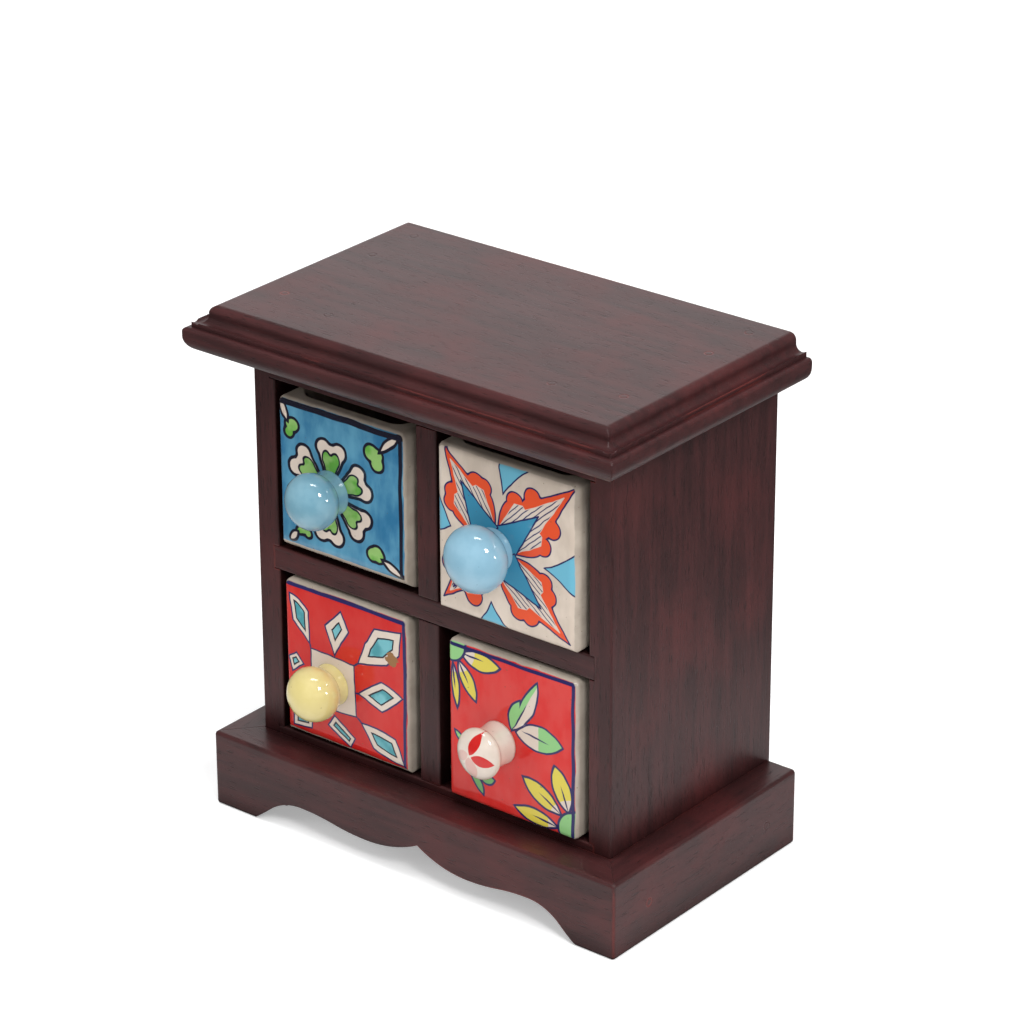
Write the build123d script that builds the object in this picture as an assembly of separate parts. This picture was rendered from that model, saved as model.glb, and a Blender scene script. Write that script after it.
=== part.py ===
from build123d import *
import os
from math import sqrt

# A small wooden chest with four glazed ceramic drawers. All sizes are millimetres.
# X runs along the front, +Y from front to back and +Z up. While the pieces are built, the front of
# the carcass lies at y = 0. They are written with the centre of the base at the origin.

# Carcass boards
carcass_width = 130.8
carcass_depth = 77.0
side_thickness = 8.0
divider_thickness = 7.5
divider_offset = -0.7  # the divider stands a little to the left of the middle
shelf_thickness = 7.6
floor_thickness = 7.6
inner_top_thickness = 8.8
back_thickness = 3.0
housing_depth = 2.0  # groove in a side that takes the end of a level board
rabbet_width = 4.0  # lap of the back panel into a side
joint_clearance = 0.1
edge_round = 0.6  # sanded edges of the boards

# Heights
plinth_height = 24.4
floor_rise = 2.6  # the floor board's top above the plinth
lower_opening = 51.9
upper_opening = 53.0

# Plinth rails, planted on the front and sides of the carcass
plinth_front_thickness = 11.5
plinth_side_thickness = 10.1
plinth_back_thickness = 10.0
plinth_round = 1.1
back_step = 1.0  # plinth and top stop this far short of the carcass back

# Scalloped apron under the front rail. It was sawn by hand, so its notch is off centre.
apron_left_foot = -60.4
apron_right_foot = 62.3
apron_notch = 3.6
notch_height = 12.5
dip_height = 7.5
crest_height = 9.6
dip_share = 0.31  # of the way from the notch to the foot
crest_share = 0.70
turn_share = 0.896  # where the foot's ogee turns from hollow to round
turn_drop = 0.48  # of the crest's height

# Moulded top: a round, a quirk, a cove, a fillet and a bullnose, from the top down
top_side_overhang = 12.2
top_front_overhang = 16.4
top_round = 2.2
quirk = 0.8
cove_height = 1.6
cove_width = 3.6
fillet_height = 1.6
ledge = 0.8
nose_top_radius = 1.2
nose_flat = 1.5
nose_bottom_radius = 5.0

# Ceramic drawers: the walls that all four share
front_wall = 5.0
side_wall = 4.2
back_wall = 4.2
drawer_floor = 4.4
cavity_corner = 5.0
cavity_foot_round = 3.0
rim_round = 1.9
inner_rim_round = 1.0
foot_round = 1.4
drawer_back_gap = 0.4  # behind a closed drawer

# The four drawers were formed by hand, so each has its own size. gap_left, gap_right and headroom
# are the play in its opening, proud is how far its face stands in front of the carcass, corner rounds
# its upright edges, and lip_rise and lip_run are the height and depth of the easing under its face.
# The knob's hole is off the face's centre by knob_x and knob_z.
drawers = {
    "upper_left": dict(
        gap_left=3.7, gap_right=2.25, headroom=2.7, proud=3.0, corner=1.6,
        lip_rise=6.7, lip_run=11.0, knob_x=-4.1, knob_z=-0.4,
    ),
    "upper_right": dict(
        gap_left=2.0, gap_right=2.35, headroom=1.5, proud=2.8, corner=2.6,
        lip_rise=2.5, lip_run=3.0, knob_x=-4.1, knob_z=-1.6,
    ),
    "lower_left": dict(
        gap_left=3.0, gap_right=3.15, headroom=1.0, proud=1.8, corner=1.8,
        lip_rise=4.2, lip_run=5.0, knob_x=-5.7, knob_z=-4.1,
    ),
    "lower_right": dict(
        gap_left=4.85, gap_right=2.95, headroom=1.3, proud=2.0, corner=2.0,
        lip_rise=1.8, lip_run=2.0, knob_x=-4.7, knob_z=-2.5,
    ),
}

# Knobs: a flattened ball on a neck and a flange. reach is from the face to the ball's centre.
knobs = {
    "upper_left": dict(radius=8.6, half_depth=6.8, reach=8.0, flange=6.9, neck=6.0),
    "upper_right": dict(radius=10.0, half_depth=7.5, reach=8.0, flange=6.7, neck=5.9),
    "lower_left": dict(radius=8.4, half_depth=7.2, reach=8.0, flange=6.6, neck=5.7),
    "lower_right": dict(radius=7.9, half_depth=3.8, reach=8.6, flange=6.8, neck=6.1),
}
flange_thickness = 0.9
flange_round = 0.4
shoulder_share = 0.7  # radius of the ball's shoulder, as a share of half_depth
waist_flare = 0.25  # of the way from the neck out to the flange
waist_height = 0.4  # of the way from the flange up to the neck

# Knob fastening
stud_diameter = 3.0
stud_in_knob = 6.5
stud_past_nut = 1.2
knob_hole_clearance = 0.1  # on the diameter, filled with cement
wall_hole_diameter = 3.8
washer_diameter = 8.0
washer_thickness = 0.8
nut_flats = 5.5
nut_thickness = 2.4

# Nails
nail_diameter = 1.4
nail_head_diameter = 2.4
nail_head_thickness = 0.6
filler_depth = 0.8  # filler over a punched head
top_nail_length = 24.0
inner_top_nail_length = 19.0
plinth_nail_length = 18.0
back_pin_length = 10.0
top_nail_front = 10.0  # from the carcass front to the first nail
top_nail_back = 9.0  # from the carcass back to the last
top_nail_middle = 0.67  # the third nail, as a share of the way between them
inner_top_nail_in = 17.0  # from the side's inner face
inner_top_nail_front = 5.0
plinth_nail_front = 5.0
plinth_nail_back = 15.0
plinth_nail_level = 0.485  # share of the plinth's height
back_pin_lower = 0.3  # share of the lower opening's height
back_pin_upper = (0.15, 0.82)  # shares of the upper opening's height
back_pin_in = 25.0  # from the side's inner face

# Places worked out from the sizes above
half_width = carcass_width / 2
bay_edge = half_width - side_thickness
divider_left = divider_offset - divider_thickness / 2
divider_right = divider_offset + divider_thickness / 2
panel_front = carcass_depth - back_thickness
panel_half_width = bay_edge + rabbet_width
floor_top = plinth_height + floor_rise
floor_bottom = floor_top - floor_thickness
shelf_bottom = floor_top + lower_opening
shelf_top = shelf_bottom + shelf_thickness
inner_top_bottom = shelf_top + upper_opening
top_bottom = inner_top_bottom + inner_top_thickness
moulding_width = top_round + cove_width + ledge + nose_top_radius
top_thickness = (
    top_round + quirk + cove_height + fillet_height
    + nose_top_radius + nose_flat + nose_bottom_radius
)
top_top = top_bottom + top_thickness
worked_back = carcass_depth - back_step
side_centre = half_width - side_thickness / 2
plinth_half_width = half_width + plinth_side_thickness


def block(x, y, z):
    """A box between the two ends of each range."""
    size = [high - low for low, high in (x, y, z)]
    centre = [(low + high) / 2 for low, high in (x, y, z)]
    return Pos(*centre) * Box(*size)


def rod(start, direction, length, diameter):
    """A round bar from a point along a direction."""
    return extrude(Plane(start, z_dir=direction) * Circle(diameter / 2), length)


def moulded_section(reach, back):
    """Cross-section of the moulded top. Its worked edge reaches out to u = reach."""
    flat = reach - moulding_width
    cove_start = flat + top_round
    cove_end = cove_start + cove_width
    nose = reach - nose_top_radius
    v0 = top_thickness
    v1 = v0 - top_round
    v2 = v1 - quirk
    v3 = v2 - cove_height
    v4 = v3 - fillet_height
    v5 = v4 - nose_top_radius
    edge = [
        Line((back, v0), (flat, v0)),
        RadiusArc((flat, v0), (cove_start, v1), top_round),
        Line((cove_start, v1), (cove_start, v2)),
        TangentArc((cove_start, v2), (cove_end, v3), tangent=(0, -1)),
        Line((cove_end, v3), (cove_end, v4)),
        Line((cove_end, v4), (nose, v4)),
        RadiusArc((nose, v4), (reach, v5), nose_top_radius),
        Line((reach, v5), (reach, nose_bottom_radius)),
        RadiusArc((reach, nose_bottom_radius), (reach - nose_bottom_radius, 0), nose_bottom_radius),
        Line((reach - nose_bottom_radius, 0), (back, 0)),
    ]
    return edge


def make_top_board():
    """The moulding runs round three sides and meets in true mitres."""
    side_reach = half_width + top_side_overhang
    front_reach = top_front_overhang
    # The front run: u points out of the front, v up, and the plain edge lies at the back
    run = moulded_section(front_reach, -worked_back)
    run.append(Line((-worked_back, 0), (-worked_back, top_thickness)))
    front_plane = Plane((0, 0, top_bottom), x_dir=(0, -1, 0), z_dir=(-1, 0, 0))
    front_run = extrude(front_plane * make_face(run), side_reach + 1, both=True)
    # The side runs: the same section on the right, and mirrored on the left
    half = moulded_section(side_reach, 0)
    half.append(Line((0, 0), (0, top_thickness)))
    half_face = make_face(half)
    side_face = half_face + mirror(half_face, Plane.YZ)
    side_plane = Plane((0, 0, top_bottom), x_dir=(1, 0, 0), z_dir=(0, -1, 0))
    side_runs = extrude(side_plane * side_face, carcass_depth + front_reach, both=True)
    return (front_run & side_runs) - [nail_hole(*place) for place in top_nail_places()]


def top_nail_places():
    """Three nails into each side and one near each front corner of the inner top."""
    first, last = top_nail_front, carcass_depth - top_nail_back
    rows = (first, first + top_nail_middle * (last - first), last)
    places = [
        ((sign * side_centre, y, top_top), (0, 0, -1), top_nail_length)
        for sign in (-1, 1)
        for y in rows
    ]
    places += [
        ((sign * (bay_edge - inner_top_nail_in), inner_top_nail_front, top_top), (0, 0, -1), inner_top_nail_length)
        for sign in (-1, 1)
    ]
    return places


def plinth_nail_places():
    z = plinth_nail_level * plinth_height
    return [
        ((sign * plinth_half_width, y, z), (-sign, 0, 0), plinth_nail_length)
        for sign in (-1, 1)
        for y in (plinth_nail_front, carcass_depth - plinth_nail_back)
    ]


def back_pin_places():
    """Pins through the panel into both sides, the floor board and the inner top."""
    side_x = bay_edge + rabbet_width / 2
    level_x = bay_edge - back_pin_in
    side_z = [floor_top + back_pin_lower * lower_opening]
    side_z += [shelf_top + share * upper_opening for share in back_pin_upper]
    level_z = [floor_top - floor_thickness / 2, inner_top_bottom + inner_top_thickness / 2]
    spots = [(side_x, z) for z in side_z] + [(level_x, z) for z in level_z]
    return [
        ((sign * x, carcass_depth, z), (0, -1, 0), back_pin_length)
        for sign in (-1, 1)
        for x, z in spots
    ]


def nail(start, direction, length, sunk=filler_depth):
    """A nail whose head lies sunk under the surface. length is from the surface to its point."""
    head_top = tuple(s + d * sunk for s, d in zip(start, direction))
    head = rod(head_top, direction, nail_head_thickness, nail_head_diameter)
    return (head + rod(head_top, direction, length - sunk, nail_diameter)).solid()


def nail_hole(start, direction, length, sunk=filler_depth):
    head_room = rod(start, direction, sunk + nail_head_thickness, nail_head_diameter)
    return head_room + rod(start, direction, length, nail_diameter)


def filler(start, direction, length):
    return rod(start, direction, filler_depth, nail_head_diameter).solid()


def pin_holes():
    """The back pins' heads lie flush with the panel."""
    return [nail_hole(*place, sunk=0) for place in back_pin_places()]


def soften(board, axis, radius=edge_round):
    """Sand the front edges of a board that run along an axis."""
    front = board.edges().filter_by(axis).filter_by_position(Axis.Y, -0.01, 0.01)
    return fillet(front, radius)


def make_side(sign):
    board = block((bay_edge, half_width), (0, carcass_depth), (0, top_bottom))
    board = soften(board, Axis.Z)
    groove_reach = bay_edge + housing_depth
    for low, high in (
        (floor_bottom, floor_top),
        (shelf_bottom, shelf_top),
        (inner_top_bottom, top_bottom),
    ):
        board -= block((bay_edge - 1, groove_reach), (-1, panel_front), (low, high))
    rabbet = ((bay_edge - 1, panel_half_width), (panel_front, carcass_depth + 1))
    board -= block(*rabbet, (floor_bottom, top_bottom))
    if sign < 0:
        board = mirror(board, Plane.YZ)
    return board - [nail_hole(*place) for place in top_nail_places() + plinth_nail_places()] - pin_holes()


def make_level_board(low, high):
    """A board across the carcass. Its ends stand in the sides' housings."""
    half = bay_edge + housing_depth
    return soften(block((-half, half), (0, panel_front), (low, high)), Axis.X)


def make_shelf():
    board = make_level_board(shelf_bottom, shelf_top)
    slot = (divider_left - joint_clearance, divider_right + joint_clearance)
    return board - block(slot, (panel_front / 2, carcass_depth), (shelf_bottom, shelf_top))


def make_divider():
    """Halved over the shelf, which runs unbroken along the front."""
    across = (divider_left, divider_right)
    board = soften(block(across, (0, panel_front), (floor_top, inner_top_bottom)), Axis.Z)
    return board - block(across, (-1, panel_front / 2), (shelf_bottom, shelf_top))


def make_floor():
    return make_level_board(floor_bottom, floor_top) - pin_holes()


def make_inner_top():
    board = make_level_board(inner_top_bottom, top_bottom)
    return board - [nail_hole(*place) for place in top_nail_places()] - pin_holes()


def make_back_panel():
    across = (-panel_half_width, panel_half_width)
    return block(across, (panel_front, carcass_depth), (floor_bottom, top_bottom)) - pin_holes()


def scallop(foot):
    """Half of the apron's outline, as edges from the notch to a foot."""
    span = foot - apron_notch
    side = 1 if span > 0 else -1
    dip = apron_notch + dip_share * span
    crest = apron_notch + crest_share * span
    turn = apron_notch + turn_share * span
    rise = (dip + crest) / 2
    rise_height = (dip_height + crest_height) / 2
    turn_height = crest_height * (1 - turn_drop)
    hang = TangentArc((dip, dip_height), (apron_notch, notch_height), tangent=(-side, 0))
    lift = TangentArc((dip, dip_height), (rise, rise_height), tangent=(side, 0))
    crown = TangentArc((crest, crest_height), (rise, rise_height), tangent=(-side, 0))
    shoulder = TangentArc((crest, crest_height), (turn, turn_height), tangent=(side, 0))
    ankle = TangentArc((turn, turn_height), (foot, 0), tangent=shoulder % 1)
    return [hang, lift, crown, shoulder, ankle]


def make_plinth_ring():
    ring = block(
        (-plinth_half_width, plinth_half_width), (-plinth_front_thickness, worked_back), (0, plinth_height)
    )
    corners = ring.edges().filter_by(Axis.Z).sort_by(Axis.Y)[:2]
    ring = fillet(corners, plinth_round)
    rims = ring.faces().sort_by(Axis.Z)[-1].edges() + ring.faces().sort_by(Axis.Z)[0].edges()
    rims = [edge for edge in rims if edge.center().Y < worked_back - 0.01]
    ring = fillet(rims, plinth_round)
    ring -= block((-half_width, half_width), (0, carcass_depth), (-1, plinth_height + 1))
    outline = scallop(apron_left_foot) + scallop(apron_right_foot)
    outline.append(Line((apron_left_foot, 0), (apron_right_foot, 0)))
    front = Plane((0, 0, 0), x_dir=(1, 0, 0), z_dir=(0, -1, 0))
    return ring - extrude(front * make_face(outline), plinth_front_thickness + 1)


def mitre_wedge(sign):
    """Everything outside the mitre plane at one front corner of the plinth."""
    inner = (sign * half_width, 0)
    outer = (sign * plinth_half_width, -plinth_front_thickness)
    beyond = (2 * outer[0] - inner[0], 2 * outer[1] - inner[1])
    far = sign * 2 * carcass_width
    corners = [inner, beyond, (far, beyond[1]), (far, carcass_depth), (inner[0], carcass_depth)]
    return extrude(make_face(Polyline(*corners, close=True)), plinth_height)


def make_plinth():
    ring = make_plinth_ring() - [nail_hole(*place) for place in plinth_nail_places()]
    rails = {"plinth_left": ring & mitre_wedge(-1), "plinth_right": ring & mitre_wedge(1)}
    rails["plinth_front"] = ring - mitre_wedge(-1) - mitre_wedge(1)
    rails["plinth_back"] = block(
        (-bay_edge, bay_edge), (carcass_depth - plinth_back_thickness, carcass_depth), (0, floor_bottom)
    )
    return rails


def drawer_place(name):
    """Ends of a closed drawer's width, face, seat and height."""
    size = drawers[name]
    if name.endswith("left"):
        bay_left, bay_right = -bay_edge, divider_left
    else:
        bay_left, bay_right = divider_right, bay_edge
    if name.startswith("upper"):
        seat, opening = shelf_top, upper_opening
    else:
        seat, opening = floor_top, lower_opening
    across = (bay_left + size["gap_left"], bay_right - size["gap_right"])
    return across, -size["proud"], seat, opening - size["headroom"]


def make_drawer(name):
    size = drawers[name]
    (left, right), face, seat, height = drawer_place(name)
    middle, width = (left + right) / 2, right - left
    back = panel_front - drawer_back_gap
    length = back - face
    centre_y = (face + back) / 2
    outside = Pos(middle, centre_y, seat) * extrude(
        RectangleRounded(width, length, size["corner"]), height
    )
    outside = fillet(outside.faces().sort_by(Axis.Z)[-1].edges(), rim_round)
    outside = fillet(outside.faces().sort_by(Axis.Z)[0].edges(), foot_round)
    # The easing under the face: a quarter ellipse from the face down to the seat
    lip = EllipticalCenterArc(
        (face + size["lip_run"], seat + size["lip_rise"]), size["lip_run"], size["lip_rise"], 180, arc_size=90
    )
    corner = (face - 1, seat - 1)
    lip_outline = [
        lip,
        Line(lip @ 1, (face + size["lip_run"], seat - 1)),
        Line((face + size["lip_run"], seat - 1), corner),
        Line(corner, (face - 1, seat + size["lip_rise"])),
        Line((face - 1, seat + size["lip_rise"]), lip @ 0),
    ]
    lip_plane = Plane((middle, 0, 0), x_dir=(0, 1, 0), z_dir=(1, 0, 0))
    outside -= extrude(lip_plane * make_face(lip_outline), width, both=True)
    cavity_width = width - 2 * side_wall
    cavity_length = length - front_wall - back_wall
    cavity_y = face + front_wall + cavity_length / 2
    cavity = Pos(middle, cavity_y, seat + drawer_floor) * extrude(
        RectangleRounded(cavity_width, cavity_length, cavity_corner), height
    )
    cavity = fillet(cavity.faces().sort_by(Axis.Z)[0].edges(), cavity_foot_round)
    x, z = knob_axis(name)
    hole = rod((x, face - 1, z), (0, 1, 0), front_wall + 2, wall_hole_diameter)
    box = outside - cavity
    inner_rim = box.faces().sort_by(Axis.Z)[-1].inner_wires()[0].edges()
    return fillet(inner_rim, inner_rim_round) - hole


def knob_axis(name):
    size = drawers[name]
    (left, right), _, seat, height = drawer_place(name)
    return (left + right) / 2 + size["knob_x"], seat + height / 2 + size["knob_z"]


def knob_head(size):
    """Half outline of a flattened ball, about its own centre, from the neck out and over to the tip.
    A small arc rounds its shoulder and a wide one makes both its front and the side by the neck."""
    radius, depth, neck = size["radius"], size["half_depth"], size["neck"]
    shoulder = shoulder_share * depth
    shoulder_in = radius - shoulder
    rest = depth - shoulder
    crown_drop = (shoulder_in**2 - rest**2) / (2 * rest)
    crown = depth + crown_drop
    meet_r = crown * shoulder_in / (crown - shoulder)
    meet_h = crown * crown_drop / (crown - shoulder) - crown_drop
    neck_h = crown_drop - sqrt(crown**2 - neck**2)
    low_shoulder = TangentArc((radius, 0), (meet_r, -meet_h), tangent=(0, -1))
    low_crown = TangentArc((meet_r, -meet_h), (neck, neck_h), tangent=low_shoulder % 1)
    high_shoulder = TangentArc((radius, 0), (meet_r, meet_h), tangent=(0, 1))
    high_crown = TangentArc((meet_r, meet_h), (0, depth), tangent=high_shoulder % 1)
    return [low_crown, low_shoulder, high_shoulder, high_crown], neck_h


def make_knob(name):
    """Turned form, drawn as a half profile: r out from the axis, h out from the drawer's face."""
    size = knobs[name]
    reach, rim = size["reach"], size["flange"]
    head, neck_h = knob_head(size)
    neck = (size["neck"], reach + neck_h)
    waist = (
        neck[0] + waist_flare * (rim - neck[0]),
        flange_thickness + waist_height * (neck[1] - flange_thickness),
    )
    bore = (stud_diameter + knob_hole_clearance) / 2
    tip = (0, reach + size["half_depth"])
    profile = [
        Line((bore, 0), (rim - flange_round, 0)),
        RadiusArc((rim, flange_round), (rim - flange_round, 0), flange_round),
        Line((rim, flange_round), (rim, flange_thickness)),
        ThreePointArc((rim, flange_thickness), waist, neck),
        *[Pos(0, reach) * arc for arc in head],
        Line(tip, (0, stud_in_knob)),
        Line((0, stud_in_knob), (bore, stud_in_knob)),
        Line((bore, stud_in_knob), (bore, 0)),
    ]
    x, z = knob_axis(name)
    _, face, _, _ = drawer_place(name)
    upright = Plane((x, face, z), x_dir=(1, 0, 0), z_dir=(0, 0, 1))
    return revolve(upright * mirror(make_face(profile), Plane.XZ), Axis((x, face, z), (0, 1, 0)))


def make_fastening(name):
    """Stud, washer and nut of one knob."""
    x, z = knob_axis(name)
    _, face, _, _ = drawer_place(name)
    inward = (0, 1, 0)
    wall_back = face + front_wall
    nut_front = wall_back + washer_thickness
    nut_back = nut_front + nut_thickness
    stud_start = face - stud_in_knob
    stud = rod((x, stud_start, z), inward, nut_back + stud_past_nut - stud_start, stud_diameter)
    bore = stud_diameter + knob_hole_clearance
    washer = rod((x, wall_back, z), inward, washer_thickness, washer_diameter)
    washer -= rod((x, wall_back, z), inward, washer_thickness, bore)
    hexagon = RegularPolygon(nut_flats / 2, 6, major_radius=False)
    nut = extrude(Plane((x, nut_front, z), z_dir=inward) * hexagon, nut_thickness)
    nut -= rod((x, nut_front, z), inward, nut_thickness, bore)
    return stud, washer, nut


def make_pieces():
    pieces = {
        "top_board": make_top_board(),
        "inner_top": make_inner_top(),
        "left_side": make_side(-1),
        "right_side": make_side(1),
        "centre_divider": make_divider(),
        "shelf": make_shelf(),
        "floor_board": make_floor(),
        "back_panel": make_back_panel(),
        **make_plinth(),
        "top_nails": Compound([nail(*place) for place in top_nail_places()]),
        "plinth_nails": Compound([nail(*place) for place in plinth_nail_places()]),
        "back_pins": Compound([nail(*place, sunk=0) for place in back_pin_places()]),
        "nail_fillers": Compound([filler(*place) for place in top_nail_places() + plinth_nail_places()]),
    }
    for name in drawers:
        pieces[f"{name}_drawer"] = make_drawer(name)
        pieces[f"{name}_knob"] = make_knob(name)
        stud, washer, nut = make_fastening(name)
        pieces[f"{name}_stud"] = stud
        pieces[f"{name}_washer"] = washer
        pieces[f"{name}_nut"] = nut
    return pieces


def write_pieces(pieces):
    """Move the centre of the base to the origin and write one file for each piece."""
    box = Compound([piece for piece in pieces.values()]).bounding_box()
    shift = Pos(-(box.min.X + box.max.X) / 2, -(box.min.Y + box.max.Y) / 2, -box.min.Z)
    os.makedirs("parts", exist_ok=True)
    for name, piece in pieces.items():
        export_step(shift * piece, f"parts/{name}.step")
    return shift, box


pieces = make_pieces()
shift, box = write_pieces(pieces)
print(f"{len(pieces)} pieces, overall size {box.size}, moved by {shift.position}")
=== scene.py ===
# %% [markdown]
# # A small wooden chest with four painted ceramic drawers
# The chest is a dark lacquered carcass with a moulded top and a scalloped plinth. Each drawer is a
# glazed ceramic box with a painted face and a round knob. The solid model gives every piece its place,
# and this script gives it its finish, its light and its camera. All lengths here are metres, but `MM`
# lets the small sizes be written in millimetres.

# %% Load the frame
import bpy
import bmesh
from math import cos, pi, radians, sin, sqrt, tau
from mathutils import Matrix, Vector


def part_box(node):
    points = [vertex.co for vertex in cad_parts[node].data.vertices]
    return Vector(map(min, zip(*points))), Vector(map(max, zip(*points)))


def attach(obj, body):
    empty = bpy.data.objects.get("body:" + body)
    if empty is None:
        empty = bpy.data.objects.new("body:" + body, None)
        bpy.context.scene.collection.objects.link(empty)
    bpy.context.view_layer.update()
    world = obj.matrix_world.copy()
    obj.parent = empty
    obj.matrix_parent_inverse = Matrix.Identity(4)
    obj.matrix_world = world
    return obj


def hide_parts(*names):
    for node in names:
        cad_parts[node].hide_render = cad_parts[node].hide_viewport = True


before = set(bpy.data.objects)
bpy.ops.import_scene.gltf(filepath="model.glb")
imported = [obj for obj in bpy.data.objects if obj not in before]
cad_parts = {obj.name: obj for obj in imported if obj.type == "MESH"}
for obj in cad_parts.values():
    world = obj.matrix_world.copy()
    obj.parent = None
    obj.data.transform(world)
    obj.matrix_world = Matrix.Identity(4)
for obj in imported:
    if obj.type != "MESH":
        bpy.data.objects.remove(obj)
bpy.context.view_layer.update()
MM = 0.001
print("pieces in the frame:", len(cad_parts))

# %% [markdown]
# ## The camera
# A long lens from above and to the right of the front, as for a catalogue picture. A long lens keeps
# the upright edges nearly parallel. The camera is turned towards the middle of the carcass.

# %% Place the camera
def aim(obj, target, roll=0.0):
    """Point an object's -Z axis at a target, then turn it about that axis."""
    turn = (Vector(target) - obj.location).to_track_quat("-Z", "Y").to_matrix()
    obj.rotation_euler = (turn @ Matrix.Rotation(radians(roll), 3, "Z")).to_euler()


camera = bpy.data.objects.new("camera", bpy.data.cameras.new("camera"))
bpy.context.scene.collection.objects.link(camera)
camera.location = (0.6990, -0.85985, 0.6115)
aim(camera, (-0.007705, 0.017835, 0.094681), roll=-0.25)
camera.data.sensor_width = 36.0
camera.data.lens = 148.5
camera.data.clip_end = 20.0
bpy.context.scene.camera = camera
print("camera to chest:", round(camera.location.length, 3), "m")

# %% [markdown]
# ## Nodes by arithmetic
# A painted pattern is a long sum of small steps, so a material's nodes are easier to read as arithmetic
# than as boxes and wires. `Ink` wraps one number of a material: adding, multiplying or comparing two of
# them adds a Math node. `Sheet` holds the material and makes the other nodes.

# %% Write materials as arithmetic
class Ink:
    """One number at each point of a surface, made by a node."""

    def __init__(self, sheet, socket):
        self.sheet, self.socket = sheet, socket

    def math(self, operation, *others):
        node = self.sheet.tree.nodes.new("ShaderNodeMath")
        node.operation = operation
        for slot, value in zip(node.inputs, (self, *others)):
            self.sheet.plug(value, slot)
        return Ink(self.sheet, node.outputs[0])

    def __add__(self, other): return self.math("ADD", other)
    def __sub__(self, other): return self.math("SUBTRACT", other)
    def __rsub__(self, other): return (self * -1.0).math("ADD", other)
    def __mul__(self, other): return self.math("MULTIPLY", other)
    def __truediv__(self, other): return self.math("DIVIDE", other)
    def __abs__(self): return self.math("ABSOLUTE")
    def __neg__(self): return self * -1.0
    def low(self, other): return self.math("MINIMUM", other)
    def high(self, other): return self.math("MAXIMUM", other)
    def join(self, other, radius): return self.math("SMOOTH_MIN", other, radius)
    def root(self): return self.math("SQRT")
    def sin(self): return self.math("SINE")
    def cos(self): return self.math("COSINE")

    def fade(self, start, end):
        """0 at start, 1 at end, smooth between."""
        node = self.sheet.tree.nodes.new("ShaderNodeMapRange")
        node.interpolation_type = "SMOOTHSTEP"
        self.sheet.plug(self, node.inputs["Value"])
        self.sheet.plug(start, node.inputs["From Min"])
        self.sheet.plug(end, node.inputs["From Max"])
        return Ink(self.sheet, node.outputs["Result"])


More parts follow.
